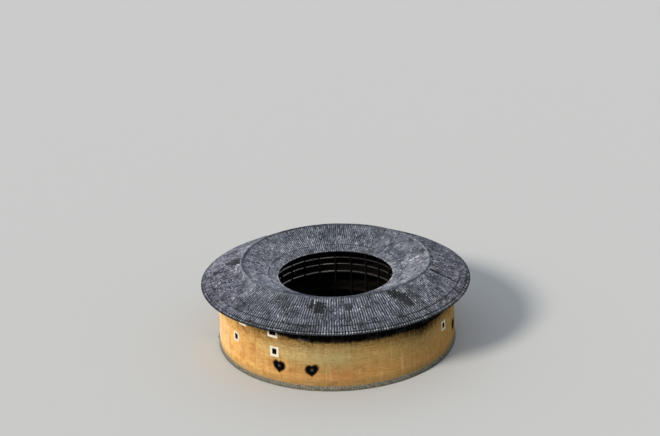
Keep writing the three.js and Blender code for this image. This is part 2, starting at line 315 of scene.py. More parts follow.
# Ochre clay with sand and grit: dull as chalk, painted warm and pale where sunlight falls and olive on the
# shaded side, darker under the eave with dust, soot and painted eave shade, browner where rain runs, with
# level lift lines, pin holes and green growth low down.
to_right = put(tree, "SeparateXYZ", spot)
high = put(tree, "SeparateXYZ", spot, out=2)
side = put(tree, "Attribute", out="Fac", attribute_name="weather")
broad = grain(spot, 5200, (1, 1, 0.6), 5, 0.6)
cloud = grain(spot, 1500, (1, 1, 0.8), 6, 0.62)
body = put(tree, "ValToRGB", cloud, stops=[
    (0.28, "#c0884a"), (0.44, "#d69d56"), (0.56, "#e8b76b"), (0.75, "#d2a05d")])
body = stain(body, (broad, 0.42, 0.62, 0, 0.55, "#cd8448"))
shady = put(tree, "ValToRGB", cloud, stops=[
    (0.3, "#675a31"), (0.46, "#8d8152"), (0.56, "#968656"), (0.7, "#776b40")])
# Lower down the redder soil of the first lifts shows through, and on the right, from 1.5 to 5 m, the colour
# turns lighter and more orange.
redder = put(tree, "ValToRGB", cloud, stops=[(0.3, "#8a5b2e"), (0.5, "#ad7a46"), (0.7, "#9a6c3e")])
shady = stain(shady, (broad, 0.46, 0.62, 0, 0.35, "#a0703e"), (high, 2.2, 4.4, 0.85, 0, redder),
              (to_right, 1.5, 5, 0, 0.55, "#bb9150"))
# A limier run of lifts crosses the middle.
limy = put(tree, "MapRange", high, 3.5, 4.6, 0, 0.24)
for pattern, full, gone in ((to_right, 0.5, 3.5), (high, 6.0, 6.8), (side, 0.65, 0.35)):
    limy = put(tree, "MapRange", pattern, full, gone, limy, 0)
# The weather attribute lays on the olive as painted shade on the side away from the sun, and the cream as
# painted sunlight on the side facing it.
body = stain(body, (side, 0, 1, 0, 0.95, shady), (limy, 0, 1, 0, 1, "#b9ae80"),
             (side, -0.45, -0.03, 0.55, 0, "#ffe3b4"))
# Each lift is dug from a slightly different soil, so its band differs a little in tone.
level = put(tree, "Math", grain(spot, 2600, detail=2, rough=0.5), 0.16, high, operation="MULTIPLY_ADD")
lifts = put(tree, "Math", level, LIFT, operation="DIVIDE")
soil = put(tree, "TexWhiteNoise", put(tree, "Math", lifts, operation="FLOOR"), noise_dimensions="1D")
# The joint is a few millimetres wide on the real wall, drawn 60 mm wide here so that it shows.
edge = put(tree, "Math", lifts, 0.5, operation="PINGPONG")
joint = put(tree, "MapRange", edge, 0, 0.13, 1, 0)
broken = put(tree, "MapRange", grain(spot, 1300, (1, 1, 0.5), 4, 0.6), 0.5, 0.64, 0, joint)
worn = put(tree, "MapRange", side, 0.2, 0.8, 0.28, 0.6)
# Seams of gravel and darker clay lie level in the lifts.
seams = grain(spot, 170, (9, 9, 1), 6, 0.7)
# Rain has run down from the eave in brown streaks and in pale ones.
brown_run = grain(spot, 420, (1, 1, 12), 5, 0.6)
pale_run = grain(spot, 620, (1, 1, 7), 4, 0.6)
# Algae and small weeds live in the lower half in patches.
moss = grain(spot, 760, (1, 1, 1.6), 6, 0.65)
lush = put(tree, "MapRange", high, 1, 6, 0.75, 0.12)
# Small holes are left by the form's pins and by pulled grit.
pits = put(tree, "TexVoronoi", spot, 1 / PIN_SPACING)
hole = put(tree, "MapRange", pits, 0.014, 0.05, 1, 0)
grit = grain(spot, 55, detail=6, rough=0.65)
body = stain(
    body, (soil, 0, 1, 0, 0.1, "#9a7440", "MULTIPLY"), (broken, 0, 1, 0, worn, "#6b5025"),
    (seams, 0.53, 0.68, 0, 0.42, "#7d6330"), (seams, 0.30, 0.44, 0.35, 0, "#d9bd84"),
    (brown_run, 0.54, 0.72, 0, 0.42, "#86663b"), (pale_run, 0.58, 0.75, 0, 0.35, "#e6c48c"),
    (moss, 0.6, 0.72, 0, lush, "#6d7040"), (high, 0.7, 1.9, 0.55, 0, "#7b6a45"),
    (hole, 0, 1, 0, 0.6, "#3b2c18"), (grit, 0.35, 0.7, 0, 0.22, "#7c5c35"))
# Under the eave the face is darkened by dust and soot and by painted shade of the deep eave: brown flecks
# first, then black over all.
dust = put(tree, "Attribute", out="Fac", attribute_name="dust")
fleck = grain(spot, 330, (1.5, 1.5, 0.8), 6, 0.7)
drift_and_shade = put(tree, "Math", fleck, 0.9, dust, operation="MULTIPLY_ADD")
drips = put(tree, "MapRange", grain(spot, 240, (1, 1, 9), 4, 0.6), 0.3, 0.7, -0.14, 0.14)
drift_and_shade = put(tree, "Math", drips, put(tree, "MapRange", dust, 0, 0.45), drift_and_shade, operation="MULTIPLY_ADD")
# Smoke from a vent climbs and spreads into two lobes over it, and the tip of the stain points down.
near = put(tree, "Attribute", out="Vector", attribute_name="vent")
beside_vent, hang, over_vent = [put(tree, "SeparateXYZ", near, out=k) for k in range(3)]
across = put(tree, "Math", beside_vent, STAIN_WIDE, operation="DIVIDE")
upward = put(tree, "Math", hang, over_vent, operation="ADD")
upward = put(tree, "Math", upward, STAIN_TALL, operation="DIVIDE")
bow = put(tree, "Math", across, operation="SQRT")
lobed = put(tree, "Math", bow, -0.56, upward, operation="MULTIPLY_ADD")
reach = put(tree, "VectorMath", put(tree, "CombineXYZ", across, lobed), operation="LENGTH")
ragged = grain(spot, 222.2, detail=5, rough=0.5)
reach = put(tree, "Math", ragged, 0.42, reach, operation="MULTIPLY_ADD")
body = stain(body, (drift_and_shade, 0.46, 0.95, 0, 0.72, "#573f1b"), (drift_and_shade, 0.78, 1.26, 0, 1, "#070505"),
             (reach, 1.02, 1.42, 0.9, 0, "#3a2614"), (reach, 1, 1.26, 1, 0, "#060404"))
relief = grit
for pattern, deep in ((broken, -0.9), (hole, -1.2), (cloud, 1.2)):
    relief = put(tree, "Math", pattern, deep, relief, operation="MULTIPLY_ADD")
close(body, grit, 0.88, 1, relief, 0.03, 0.03)


def nearest_vent(az, z):
    """How far points lie beside their nearest vent, how the stain hangs there, and how far they lie above."""
    near = np.full((az.size, 3), 4.0)
    for vent_az, hang, lean, plain in STAINS:
        s = np.radians(turned_from(vent_az, az.ravel())) * WALL_ROUND
        above = z.ravel() - VENT_Z
        closer = np.hypot(s, above) < np.hypot(near[:, 0], near[:, 2])
        aside = np.minimum(np.abs(s[closer]), 4.0)
        # The two stains that show have two lobes, and the others are plainer smudges that climb.
        hung = hang + lean * s[closer] + plain * np.sqrt(aside)
        near[closer] = np.stack([aside, hung, above[closer]], -1)
    return near


def weathering(az, z):
    """How the face has weathered and is painted lit or shaded by side, pale below 0 and darkest at 1, and how
    thick its dust and painted eave shade lie.
    """
    # The side away from the sun is painted darker, as shade, and the side facing it is painted cream, as
    # sunlight.
    turned = turned_from(FRONT, az)
    weather = fade_in(turned, -61, -5) * fade_in(turned, 150, 90) - 0.5 * patch(turned, -84, 20)
    # Painted eave shade, with dust and smoke, reaches lower down the face where the sun doesn't reach it.
    eave_shade_veil = 0.5 * fade_in(z, 4.8, 7.5) ** 1.2 * (0.7 + 0.3 * fade_in(turned, -60, -35))
    damp_and_shade = 0.50 * fade_in(z, 5.0, 7.3) ** 1.3 * fade_in(2.2 * weather, 0.5, 1.5)
    eave_shade_veil = np.maximum(eave_shade_veil, damp_and_shade * (1 + 0.3 * fade_in(turned, 26, 40)))
    # Painted shade darkens most the run that the sun leaves first.
    eave_shade_veil = eave_shade_veil + 0.34 * patch(turned, 43, 10) * fade_in(z, 3.4, 6.4)
    return weather, 0.9 * eave_shade(az, z) + eave_shade_veil


def wall_run(name, low, high, cut_below=None):
    """One run of wall as a closed skin with its holes, leaning and rippled as the old face is."""
    holes = [(low + (az - low) % 360, z, math.degrees(w / 2 / wall_face(z)), h)
             for az, z, w, h in HOLES if (az - low) % 360 < high - low]
    # Upright lines every 0.8 degrees or so and 60 level ones, fewer beside the edges of the holes.
    lines = set(np.round(np.linspace(low, high, max(2, int((high - low) / 0.8) + 1)), 4))
    for az, z, half, h in holes:
        lines = {a for a in lines if not az - half - 0.2 < a < az + half + 0.2}
        lines |= {round(az - half, 4), round(az, 4), round(az + half, 4)}
    lines = np.array(sorted(lines | {low, high}))
    marks = {round(z + end * h / 2, 4) for az, z, w, h in HOLES for end in (-1, 1)}
    top = roof_top(WALL_HEAD_R) - ROOF_DEPTH - SEAT
    heights = set(np.round(np.linspace(PLINTH_TOP, top, 60), 4))
    heights = {v for v in heights if min(abs(v - mark) for mark in marks) > 0.05} | marks
    if cut_below:
        heights = {v for v in heights if v > cut_below + 0.05} | {cut_below}
    heights = np.array(sorted(heights))
    az, z = np.meshgrid(lines, heights, indexing="ij")
    outer = around(az, wall_face(z) + 0.022 * swell(az, z, 2.6, 3) + 0.010 * swell(az, z, 0.8, 9), z)
    inner_z = z.copy()
    inner_z[:, -1] = roof_top(WALL_IN) - ROOF_DEPTH - SEAT
    inner = around(az, WALL_IN + 0.008 * swell(az, z, 1.7, 21), inner_z)
    verts = np.concatenate([outer.reshape(-1, 3), inner.reshape(-1, 3)])
    solid = np.ones((len(lines) - 1, len(heights) - 1), bool)
    for hole_az, hole_z, half, h in holes:
        beside_it = abs((lines[:-1] + lines[1:]) / 2 - hole_az) < half
        solid &= ~(beside_it[:, None] & (abs((heights[:-1] + heights[1:]) / 2 - hole_z) < h / 2))
    # A skin outside and inside, and a face across the thickness wherever a solid cell has no neighbour.
    back = az.size
    edged = np.pad(solid, 1)
    faces = []
    for i, j in np.argwhere(solid):
        a = i * len(heights) + j
        b, c, d = a + len(heights), a + len(heights) + 1, a + 1
        faces += [(a, b, c, d), (back + d, back + c, back + b, back + a)]
        for neighbour, start, end in ((edged[i + 1, j], b, a), (edged[i + 1, j + 2], d, c),
                                      (edged[i, j + 1], a, d), (edged[i + 2, j + 1], c, b)):
            if not neighbour:
                faces.append((start, end, back + end, back + start))
    faces = np.array(faces)
    used = np.unique(faces)
    renumber = np.full(len(verts), -1)
    renumber[used] = np.arange(len(used))
    weather, dust = weathering(az, z)
    # The face inside is painted black, partly kitchen smoke, partly the deep shade of the rooms.
    dust = np.concatenate([dust.ravel(), np.full(back, 1.3)])
    piece("earth_" + name, verts[used], renumber[faces], earth, "rammed_earth", [name], 35, dust=dust[used],
          vent=np.tile(nearest_vent(az, z), (2, 1))[used], weather=np.tile(weather.ravel(), 2)[used])


gate_turn = math.degrees(math.asin((GATE_HALF + JAMB) * 2 / (WALL_FOOT_R + WALL_IN)))
gate_low, gate_high = GATE_AZ - gate_turn, GATE_AZ + gate_turn
for run in (("wall_back_right", 15, 60), ("wall_rear_right", 60, 90), ("wall_rear_middle", 90, 105),
            ("wall_rear_left", 105, 120), ("wall_back_left", 120, 165), ("gate_wall_back", 165, gate_low),
            ("gate_wall_over", gate_low, gate_high, GATE_HEAD + LINTEL),
            ("gate_wall_front", gate_high, 187.5), ("wall_front_left", 187.5, 232.5),
            ("wall_front", 232.5, 292.5), ("wall_front_right", 292.5, 352.5), ("wall_hall", 352.5, 375)):
    wall_run(*run)

# Window surrounds and bars
# A band of white lime plaster is trowelled round each window to brighten and seal it. A fir frame
# with upright bars sits a hand's depth inside.
BAND_SIDE, BAND_HEAD = 0.31, 0.29
BAND_PROUD = 0.03
BAND_LAP = 0.006
BAND_POINTS = 28
WINDOW_R = 16.75
# The band's rings: how far out from the opening, and how far off the wall.
BAND_RINGS = ((1.0, -0.02), (0.975, BAND_PROUD), (0.5, BAND_PROUD + 0.006), (0.0, BAND_PROUD), (0.0, -0.04))
CORNERS = [(-1, -1), (1, -1), (1, 1), (-1, 1), (-1, -1)]
FRAME = 0.07
FRAME_DEEP = 0.09
FRAME_BACK = 0.09
BAR = 0.036
# How much of a timber's side is flat between its eased arrises.
FLAT = 0.84

lime, tree, spot = blank("lime_plaster_trowelled_stained_and_shaded")
# Hand-trowelled lime: chalky white, dirtied by rain and by the earth round it, darkened under the eave by
# soot and painted eave shade.
dirt = grain(spot, 260, (1, 1, 2.2), 5, 0.62)
body = put(tree, "ValToRGB", dirt, stops=[(0.3, "#ab9d82"), (0.46, "#cfc5b0"), (0.75, "#dcd4c2")])
dust = put(tree, "Attribute", out="Fac", attribute_name="dust")
body = stain(body, (grain(spot, 120, (1, 1, 6), 3, 0.5), 0.52, 0.75, 0, 0.5, "#9b8a6c"),
             (dust, 0, 0.9, 0, 0.995, "#080706"))
trowel = grain(spot, 90, (2, 2, 0.7), 4, 0.5)
close(body, dirt, 0.95, 0.8, trowel, 0.012, 0.08)


def hoops(rings, count, closed=False):
    """Quads between rings of count points each. Closed, the last ring is joined to the first."""
    near = np.arange(rings - (not closed))[:, None] * count
    far = (near + count) % (rings * count)
    point = np.arange(count)
    after = (point + 1) % count
    return np.stack([near + point, near + after, far + after, far + point], -1).reshape(-1, 4)


rng = np.random.default_rng(5)
bands = []
for az, middle_z, w, h in WINDOWS:
    wide = w + 2 * BAND_SIDE + rng.uniform(-0.07, 0.05)
    tall = h + 2 * BAND_HEAD + rng.uniform(-0.06, 0.08)
    skew = rng.uniform(-0.03, 0.03, 4)
    for grow, proud in BAND_RINGS:
        for k in range(BAND_POINTS):
            leg, along = divmod(k / BAND_POINTS * 4, 1)
            leg = int(leg)
            u, v = [a + (b - a) * along for a, b in zip(CORNERS[leg], CORNERS[leg + 1])]
            wander = 0.014 * math.sin(k * 2.3 + az) + skew[leg] * (1 - along) + skew[(leg + 1) % 4] * along
            s = u * (w / 2 - BAND_LAP + (wide - w) / 2 * grow) + wander * grow
            z = middle_z + v * (h / 2 - BAND_LAP + (tall - h) / 2 * grow) + wander * grow
            bands.append(around(az + math.degrees(s / WINDOW_R), wall_face(z) + proud, z))
bands = np.array(bands)
faces = copies(hoops(len(BAND_RINGS), BAND_POINTS), len(WINDOWS), len(BAND_RINGS) * BAND_POINTS)
# The lime is darkened by soot and painted eave shade from lower down than the earth is.
dust = eave_shade(np.degrees(np.arctan2(bands[:, 1], bands[:, 0])), bands[:, 2] + 0.46)
piece("window_lime_bands", bands, faces, lime, "ridge_lime", round_to=40, dust=dust)

fir, tree, spot = blank("old_fir_smoke_and_shade_dark")
# Fir carpentry painted near black, partly age and kitchen smoke, partly the deep shade it stands in: close
# brown grain, dull, drier at the arrises.
rings = grain(spot, 45, (1, 1, 9), 6, 0.6)
body = put(tree, "ValToRGB", rings, stops=[(0.3, "#070505"), (0.55, "#0e0b09"), (0.8, "#19140f")])
own = put(tree, "NewGeometry", out="Random Per Island")
body = stain(body, (own, 0, 1, 0, 0.2, "#211b16"))
close(body, rings, 0.85, 0.97, rings, 0.004, 0.04)


def sticks(name, timbers, material, slot, replaces=()):
    """Dressed timbers with eased arrises. Each is its two ends and its size, across and deep."""
    ends = np.array([timber[:2] for timber in timbers], float)
    sizes = np.array([timber[2] for timber in timbers])
    along = ends[:, 1] - ends[:, 0]
    along /= np.linalg.norm(along, axis=1)[:, None]
    outward = ends.mean(1) * (1, 1, 0)
    outward /= np.linalg.norm(outward, axis=1)[:, None] + 1e-9
    up = np.where(np.abs(along[:, 2:]) > 0.8, outward, (0.0, 0.0, 1.0))
    across = np.cross(along, up)
    across /= np.linalg.norm(across, axis=1)[:, None]
    up = np.cross(across, along)
    corners = [(1, -FLAT), (1, FLAT), (FLAT, 1), (-FLAT, 1), (-1, FLAT), (-1, -FLAT), (-FLAT, -1), (FLAT, -1)]
    ring = np.array(corners) * sizes[:, None] / 2
    offs = across[:, None] * ring[..., :1] + up[:, None] * ring[..., 1:]
    quads = [(k, (k + 1) % 8, 8 + (k + 1) % 8, 8 + k) for k in range(8)]
    for end, order in ((0, -1), (8, 1)):
        quads += [(end + k, end + k + 1, end + 6 - k, end + 7 - k)[::order] for k in range(3)]
    piece(name, ends[:, :, None] + offs[:, None], copies(quads, len(ends), 16), material, slot, replaces)


def beside(az, r, s, z):
    """Points r out along an azimuth, s across it and z up."""
    turn = math.radians(az)
    r, s, z = np.broadcast_arrays(r, s, z)
    return np.stack([r * math.cos(turn) - s * math.sin(turn), r * math.sin(turn) + s * math.cos(turn), z], -1)


def stick_at(az, r, start, end, size):
    """A timber in the upright plane square to a radius. Its ends are given across and up."""
    return beside(az, r, *start), beside(az, r, *end), size


timbers = []
for az, middle_z, w, h in WINDOWS:
    r = wall_face(middle_z) - FRAME_BACK
    foot, head = middle_z - h / 2, middle_z + h / 2
    for z in (foot + FRAME / 2, head - FRAME / 2):
        timbers.append(stick_at(az, r, (-w / 2, z), (w / 2, z), (FRAME_DEEP, FRAME)))
    for s in (-w / 2 + FRAME / 2, w / 2 - FRAME / 2):
        timbers.append(stick_at(az, r, (s, foot), (s, head), (FRAME, FRAME_DEEP)))
    for k in range(-2, 3):
        s = k * (w - 2 * FRAME) / 6
        timbers.append(stick_at(az, r, (s, foot + 0.05), (s, head - 0.05), (BAR, BAR)))
sticks("window_frames_and_bars", timbers, fir, "timber")

# Kitchen vents
# A square hole low in the wall lets the cooking smoke out. A lattice of six weathered slats is
# pegged across it.
SLAT_HALF = 0.205
SLAT = (0.05, 0.03)
SLAT_BACK = 0.07


def greyed_fir(name, dark, middle, pale, left_light, right_shade):
    """Fir that the weather has greyed; painted silver towards the left of the court as light, and dark
    towards the right as shade.
    """
    made, tree, spot = blank(name)
    rings = grain(spot, 60, (3, 3, 1), 6, 0.6)
    body = put(tree, "ValToRGB", rings, stops=[(0.3, dark), (0.55, middle), (0.8, pale)])
    own = put(tree, "NewGeometry", out="Random Per Island")
    to_right = put(tree, "SeparateXYZ", spot)
    body = stain(body, (own, 0, 1, 0, 0.6, dark),
                 (to_right, -7, 0.6, left_light, 0, "#cfccc6", "SCREEN"),
                 (to_right, -0.3, 2, 0, right_shade, "#0d0b0a"))
    close(body, rings, 0.8, 0.95, rings, 0.004, 0.2)
    return made


# The slats hang in smoke but are washed by rain: brown grey, with the grain standing up.
sooty_fir = greyed_fir("fir_weathered_sooty", "#34322e", "#565349", "#716e60", 0, 0)
timbers = []
for az in VENTS:
    r = wall_face(VENT_Z) - SLAT_BACK
    # The level slats lie behind the upright ones.
    for s in (-0.12, 0.0, 0.12):
        timbers.append(stick_at(az, r, (s, VENT_Z - SLAT_HALF), (s, VENT_Z + SLAT_HALF), SLAT))
        z = VENT_Z + s
        timbers.append(stick_at(az, r - SLAT[1], (-SLAT_HALF, z), (SLAT_HALF, z), SLAT[::-1]))
sticks("vent_lattices", timbers, sooty_fir, "timber")

# Gateway
# Dressed granite jambs and a lintel carry the earth over the one gate. Two leaves of thick fir
# planks stand folded back inside it.
GATE_FOOT = 0.3203
GATE_IN = 15.70
GATE_OUT = 16.97
ARRIS = 0.022
# Stone pits are 8 mm across and are drawn at 14 mm so that they show.
PITS = 1 / 70
LEAF, LEAF_GAP = 0.07, 0.012
LEAF_MIDDLE = GATE_HALF + LEAF_GAP + LEAF / 2
LEAF_FOOT, LEAF_HEAD = 0.335, 2.905
PLANK_SPACING = 0.176
PLANK = (0.045, 0.172)
LEDGE = (0.026, 0.11)
LEDGE_HEIGHTS = (0.62, 1.62, 2.62)
LEDGE_ENDS = (GATE_IN - 0.86, GATE_IN - 0.02)
LEDGE_PROUD = 0.028

granite, tree, spot = blank("dressed_granite_pitched")
# Grey granite dressed with a point: speckled, with close tool pits, worn smoother at the sill.
pits = put(tree, "TexVoronoi", spot, 1 / PITS)
speckle = put(tree, "ValToRGB", pits, stops=[(0.2, "#4c4a46"), (0.6, "#c4c0b6")])
cloud = grain(spot, 500)
body = put(tree, "ValToRGB", cloud, stops=[(0.3, "#6f6c64"), (0.7, "#98948a")])
body = put(tree, "Mix", 0.25, body, speckle, data_type="RGBA")
close(body, cloud, 0.7, 0.85, pits, 0.006, 0.35)
dress(["gate_threshold"], granite)


def dressed_block(low, high, rng):
    """A stone block between two corners, its arrises worn round and its faces pitched a little hollow."""
    half = (np.array(high) - low) / 2
    cuts = [np.concatenate([[-h], np.linspace(ARRIS - h, h - ARRIS, 9), [h]]) for h in half]
    points, quads = [], []
    for axis in range(3):
        u, v = [k for k in range(3) if k != axis]
        for side in (-1, 1):
            a, b = np.meshgrid(cuts[u], cuts[v], indexing="ij")
            sheet = np.zeros(a.shape + (3,))
            sheet[..., u], sheet[..., v], sheet[..., axis] = a, b, side * half[axis]
            core = np.clip(sheet, ARRIS - half, half - ARRIS)
            off = sheet - core
            sheet = core + ARRIS * off / np.linalg.norm(off, axis=-1, keepdims=True)
            inner = (np.abs(a) < half[u] - ARRIS * 1.5) & (np.abs(b) < half[v] - ARRIS * 1.5)
            sheet[..., axis] -= side * inner * rng.uniform(0.0, 0.009, a.shape)
            n = a.shape[1]
            i, j = np.meshgrid(np.arange(len(a) - 1), np.arange(n - 1), indexing="ij")
            corner = (len(points) * a.size + i * n + j).ravel()
            quad = np.stack([corner, corner + n, corner + n + 1, corner + 1], -1)
            quads.append(quad[:, ::-1] if (side > 0) == (axis == 1) else quad)
            points.append(sheet.reshape(-1, 3))
    points = np.concatenate(points) + (np.array(low) + high) / 2
    kept, renumber = np.unique(np.round(points, 5), axis=0, return_inverse=True)
    return kept, renumber.ravel()[np.concatenate(quads)]


rng = np.random.default_rng(41)
stones = [((GATE_IN, -GATE_HALF - JAMB, GATE_HEAD), (GATE_OUT, GATE_HALF + JAMB, GATE_HEAD + LINTEL))]
for hand in (-1, 1):
    near, far = sorted((hand * GATE_HALF, hand * (GATE_HALF + JAMB)))
    beds = [GATE_FOOT, 1.10 + rng.uniform(-0.1, 0.1), 2.05 + rng.uniform(-0.1, 0.1), GATE_HEAD]
    stones += [((GATE_IN, near, z0), (GATE_OUT, far, z1)) for z0, z1 in zip(beds, beds[1:])]
verts, faces = [], []
for low, high in stones:
    points, quads = dressed_block(low, high, rng)
    faces.append(quads + sum(map(len, verts)))
    verts.append(beside(GATE_AZ, *points.T))
verts, faces = np.concatenate(verts), np.concatenate(faces)
piece("gate_stones", verts, faces, granite, "cobble_stone", ["gate_surround"], 50)

for name, hand in (("gate_leaf_back", -1), ("gate_leaf_front", 1)):
    timbers = []
    for k in range(5):
        r = GATE_IN - SEAT - PLANK_SPACING * (4.5 - k)
        s = hand * LEAF_MIDDLE
        timbers.append(stick_at(GATE_AZ, r, (s, LEAF_FOOT), (s, LEAF_HEAD), PLANK))
    # Three ledges are nailed across the planks.
    s = hand * (LEAF_MIDDLE - LEDGE_PROUD)
    for z in LEDGE_HEIGHTS:
        timbers.append([beside(GATE_AZ, r, s, z) for r in LEDGE_ENDS] + [LEDGE])
    sticks("planks_" + name, timbers, fir, "timber", [name])

# Ground floor
# Tamped earth and lime with flags set in it, laid inside the plinth right round the house. It ends
# in a stone kerb at the court, a step above it.
FLAG = 0.625

paving, tree, spot = blank("tamped_earth_and_flags")
# Lime and clay beaten flat and swept for generations: dull grey brown with a worn sheen.
flags = put(tree, "TexVoronoi", spot, 1 / FLAG, feature="DISTANCE_TO_EDGE")
worn = grain(spot, 700)
body = put(tree, "ValToRGB", worn, stops=[(0.3, "#3d382f"), (0.7, "#5c5548")])
body = stain(body, (flags, 0, 0.04, 0.6, 0, "#38342b"))
close(body, worn, 0.7, 0.9, put(tree, "MapRange", flags, 0, 0.05), 0.01, 0.3)
dress(["ground_floor"], paving)

# Upper floors
# Each storey is fir boards over joists that run from the gallery posts into the earth wall, with a
# weathered edge board along the court.
POSTS = [15 * k for k in range(1, 12)] + [187.5 + 15 * k for k in range(12)]
BAYS = list(zip(POSTS, POSTS[1:] + [POSTS[0] + 360]))
BOARD = 0.21
EDGE_R = 9.148
EDGE_BOARD = (0.032, 0.13)

boards, tree, spot = blank("fir_floor_boards_shade_dark")
# Wide fir boards laid round the ring, painted near black for the deep shade they lie in: foot-worn, with dark
# joints.
reach = put(tree, "VectorMath", spot, (1, 1, 0), operation="MULTIPLY")
reach = put(tree, "VectorMath", reach, operation="LENGTH")
lane = put(tree, "Math", reach, BOARD, operation="DIVIDE")
seam = put(tree, "MapRange", put(tree, "Math", lane, 0.5, operation="PINGPONG"), 0, 0.04, 1, 0)
rings = grain(spot, 90)
body = put(tree, "ValToRGB", rings, stops=[(0.3, "#0b0806"), (0.7, "#16110d")])
body = put(tree, "Mix", seam, body, "#050403", data_type="RGBA")
close(body, rings, 0.8, 0.95, seam, 0.01, 0.06)
dress(["second_floor", "third_floor"], boards)

# Edge boards and handrails of the top gallery are weathered silver and painted paler to the left as light,
# and those a storey lower are painted near black as shade.
silver_lit_fir = greyed_fir("fir_weathered_silver", "#484645", "#6c6a67", "#898783", 0.92, 0.58)
STOREYS = (("second_floor", 3.20, fir), ("third_floor", 6.05, silver_lit_fir))


def lengths(bay, gap=0.0):
    """The azimuths of the timbers that fill a bay between posts, with a gap at each end of each."""
    start, wide = bay[0], bay[1] - bay[0]
    parts = 2 if wide < 16 else 3
    return [(start + wide * k / parts + gap, start + wide * (k + 1) / parts - gap) for k in range(parts)]


rng = np.random.default_rng(31)
for name, floor_z, finish in STOREYS:
    timbers = []
    for bay in BAYS:
        for a0, a1 in lengths(bay, 0.15):
            z = floor_z - EDGE_BOARD[1] / 2 + rng.uniform(-0.012, 0.012)
            end_z = z + rng.uniform(-0.01, 0.01)
            timbers.append((around(a0, EDGE_R, z), around(a1, EDGE_R, end_z), EDGE_BOARD))
    sticks(name + "_edge_boards", timbers, finish, "weathered_timber")

# Gallery posts and beams
# Fir posts the whole height of the galleries, standing on the ground floor and tied by a beam over
# the top gallery and by the plate that carries the inner eave.
POST_R = 9.045
POST = 0.205
TIE = (0.15, 0.13)
TIE_Z = 8.24
PLATE = (0.18, 0.24)
# A length of the plate turns 7.5 degrees, so its middle is nearer the court than its ends are.
PLATE_IN = 8.95 * math.cos(math.radians(7.5 / 2))
PLATE_Z = roof_top(PLATE_IN) - ROOF_DEPTH - PLATE[1] / 2


def upright(az, r, foot, head, side, lean=0.0):
    """A square timber that stands on the ring, its head turned a little along it."""
    return around(az, r, foot), around(az + lean, r, head), (side, side)


def hoop(bay, r, z, size):
    """A beam round the ring from post to post, in straight lengths."""
    return [(around(a0, r, z), around(a1, r, z), size) for a0, a1 in lengths(bay)]


# The tie beam is painted a darker grey than the rail below it, as shade from the eave it hangs half under.
shaded_dull_fir = greyed_fir("fir_weathered_dull", "#1c1a19", "#33302e", "#484441", 0.8, 0.3)
rng = np.random.default_rng(17)
timbers = [upright(az, POST_R, 0.3, PLATE_Z, POST, rng.uniform(-0.12, 0.12)) for az in POSTS]
ties = []
for bay in BAYS:
    timbers += hoop(bay, POST_R, PLATE_Z, PLATE)
    ties += hoop(bay, POST_R, TIE_Z, TIE)
quarters = ["gallery_posts_" + place for place in ("back_right", "back_left", "front_left", "front_right")]
sticks("gallery_frame", timbers, fir, "timber", quarters)
sticks("gallery_tie_beam", ties, shaded_dull_fir, "timber", quarters)

# Gallery rails
# A worn handrail on square balusters closes each upper gallery at the court. Rain and hands have greyed the
# top one, and the one below is painted near black, partly smoke, partly painted shade.
RAIL_R = 9.255
HANDRAIL, HANDRAIL_UP = (0.11, 0.085), 1.08
KERB, KERB_UP = (0.11, 0.12), 0.06
# A baluster stands at every degree, and a stouter one at each post.
BALUSTER = 0.038
NEWEL = 0.1
for name, floor_z, finish in STOREYS:
    rail, balusters = [], []
    for bay in BAYS:
        rail += hoop(bay, RAIL_R, floor_z + HANDRAIL_UP, HANDRAIL)
        balusters += hoop(bay, RAIL_R, floor_z + KERB_UP, KERB)
        count = round(bay[1] - bay[0])
        for k in range(1, count):
            az = bay[0] + (bay[1] - bay[0]) * k / count
            balusters.append(upright(az, RAIL_R, floor_z + 0.1, floor_z + 1.05, BALUSTER))
        balusters.append(upright(bay[0], RAIL_R, floor_z + 0.05, floor_z + 1.1, NEWEL))
    sticks(name + "_handrail", rail, finish, "weathered_timber", [name + "_rail"])
    sticks(name + "_balusters", balusters, fir, "weathered_timber", [name + "_rail"])

# Roof carpentry
# Rafters run from the ridge to both eaves over the wall and the plate, with thin boards nailed
# over them to bed the tiles.
RAFTERS = 184
RAFTER = (0.09, 0.10)
RAFTER_DROP = 0.215
rng = np.random.default_rng(23)
timbers = []
for k in range(RAFTERS):
    az = k * 360 / RAFTERS + rng.uniform(-0.15, 0.15)
    # The inner slope is shorter, and every second rafter stops at the ridge.
    for r0, r1 in ((13.35, 18.98), (8.24, 13.25))[:2 - k % 2]:
        timbers.append([around(az, r, roof_top(r) - RAFTER_DROP) for r in (r0, r1)] + [RAFTER])
sticks("roof_rafters", timbers, fir, "timber")

# Roof tiles
# Thin curved grey clay tiles, dry laid: troughs face up, covers face down over the joints. Rows run
# straight down the slope, and rows are let in at the seams where the ring widens.
SLOPE = 24
COURSE = 0.2
# Two courses near the outer eave are doubled, so the slope above each rides up a step.
DOUBLED = (18.43, 17.56)
LAP_RISE, LAP_RUN = 0.05, 2.2
# A tile's section, across in half rows and up in metres.
COVER = [(-0.62, -0.052), (-0.36, 0.002), (0.0, 0.024), (0.36, 0.002), (0.62, -0.052)]
TROUGH = [(-0.80, -0.032), (-0.3, -0.070), (0.3, -0.070), (0.80, -0.032)]
